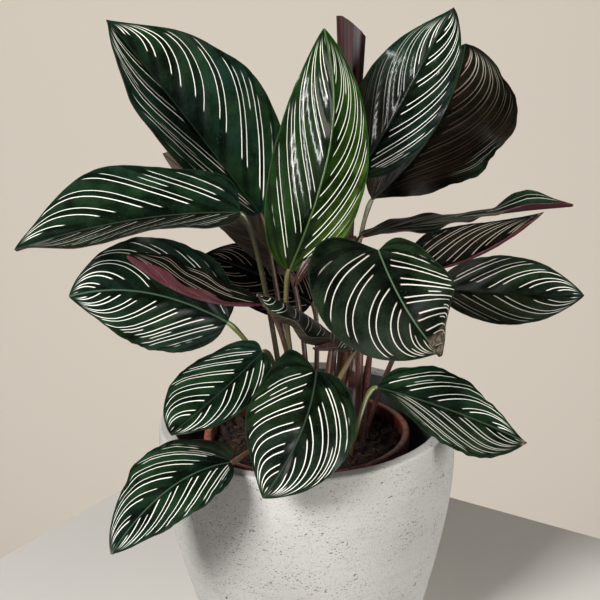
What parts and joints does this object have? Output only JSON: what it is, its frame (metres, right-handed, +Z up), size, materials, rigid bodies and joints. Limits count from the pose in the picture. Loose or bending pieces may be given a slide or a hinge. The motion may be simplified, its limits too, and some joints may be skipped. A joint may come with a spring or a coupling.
{
  "type": "potted pinstripe calathea",
  "caption": "Pinstripe calathea with broad dark green leaves, fine pale stripes and red-brown stalks, in a plastic nursery pot that stands in a round off-white cement planter.",
  "frame": {"origin": "centre of the planter's flat underside, which is where the part stands", "axes": "+Z up, out of the planter's mouth; -Y towards the viewer of the picture; +X to that viewer's right"},
  "size_m": [0.3703, 0.2365, 0.434],
  "materials": {
    "planter_cement": "matte",
    "nursery_pot_plastic": "satin",
    "soil_peat": "matte",
    "blade_green": "satin",
    "blade_fresh_green": "satin",
    "stalk_red_brown": "satin",
    "stalk_pale_green": "satin",
    "rolled_leaf_pink": "satin"
  },
  "bodies": {
    "root": {"planter": "planter_cement", "nursery_pot": "nursery_pot_plastic", "soil": "soil_peat", "crown_stem": "stalk_red_brown", "rolled_leaf": "rolled_leaf_pink", "upper_left_blade": "blade_green", "upper_left_stalk": "stalk_red_brown", "left_blade": "blade_green", "left_stalk": "stalk_red_brown", "left_rear_blade": "blade_green", "left_rear_stalk": "stalk_red_brown", "left_middle_blade": "blade_green", "left_middle_stalk": "stalk_pale_green", "left_folded_blade": "blade_green", "left_folded_stalk": "stalk_red_brown", "rear_dark_blade": "blade_green", "rear_dark_stalk": "stalk_red_brown", "front_folded_blade": "blade_green", "front_folded_stalk": "stalk_red_brown", "front_blade": "blade_green", "front_stalk": "stalk_red_brown", "front_left_blade": "blade_green", "front_left_stalk": "stalk_red_brown", "heart_blade": "blade_green", "heart_stalk": "stalk_red_brown", "right_middle_blade": "blade_green", "right_middle_stalk": "stalk_red_brown", "right_upper_blade": "blade_green", "right_upper_stalk": "stalk_red_brown", "right_inner_blade": "blade_green", "right_inner_stalk": "stalk_red_brown", "top_right_blade": "blade_green", "top_right_stalk": "stalk_red_brown", "top_far_blade": "blade_green", "top_far_stalk": "stalk_red_brown", "centre_blade": "blade_fresh_green", "centre_stalk": "stalk_pale_green", "lower_left_blade": "blade_green", "lower_left_stalk": "stalk_red_brown", "lower_right_blade": "blade_green", "lower_right_stalk": "stalk_pale_green"}
  },
  "joints": []
}
